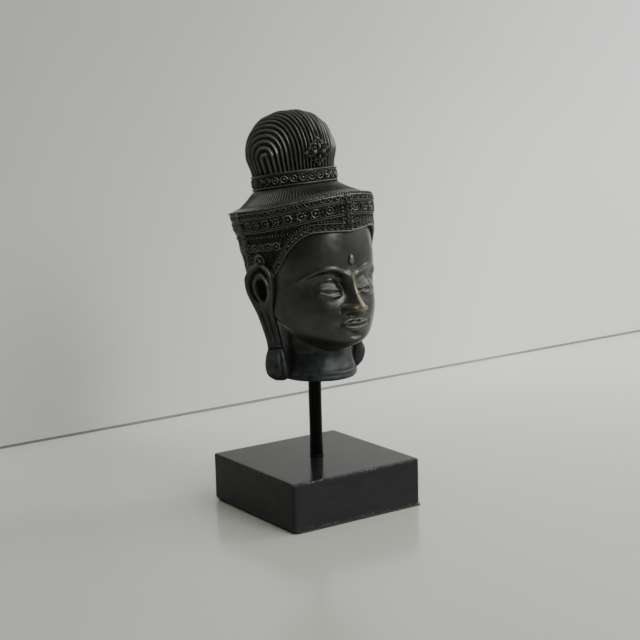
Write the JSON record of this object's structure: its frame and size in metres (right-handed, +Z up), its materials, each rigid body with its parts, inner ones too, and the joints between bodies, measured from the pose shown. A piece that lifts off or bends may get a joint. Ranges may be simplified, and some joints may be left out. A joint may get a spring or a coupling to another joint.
{
  "type": "bronze buddha head on a stand",
  "caption": "Dark bronze buddha head with a flared crown, strand-carved bun and long ear lobes, held by a thin black rod on a square black block.",
  "frame": {"origin": "centre of the block's plan on the underside of the felt; the rod's axis is 1.3 mm to +X of it", "axes": "+Z up along the rod, -Y the way the face looks, +X to the viewer's right from the front"},
  "size_m": [0.0932, 0.1041, 0.2421],
  "materials": {
    "bronze": "cast bronze with a near-black green-brown patina, satin, worn brassy on the edges",
    "black_paint": "black semi-gloss paint",
    "black_lacquer": "black satin lacquer, lightly worn",
    "felt": "black felt"
  },
  "bodies": {
    "root": {"bronze_head": "bronze", "support_rod": "black_paint", "wooden_block": "black_lacquer", "felt_underlay": "felt"}
  },
  "joints": []
}
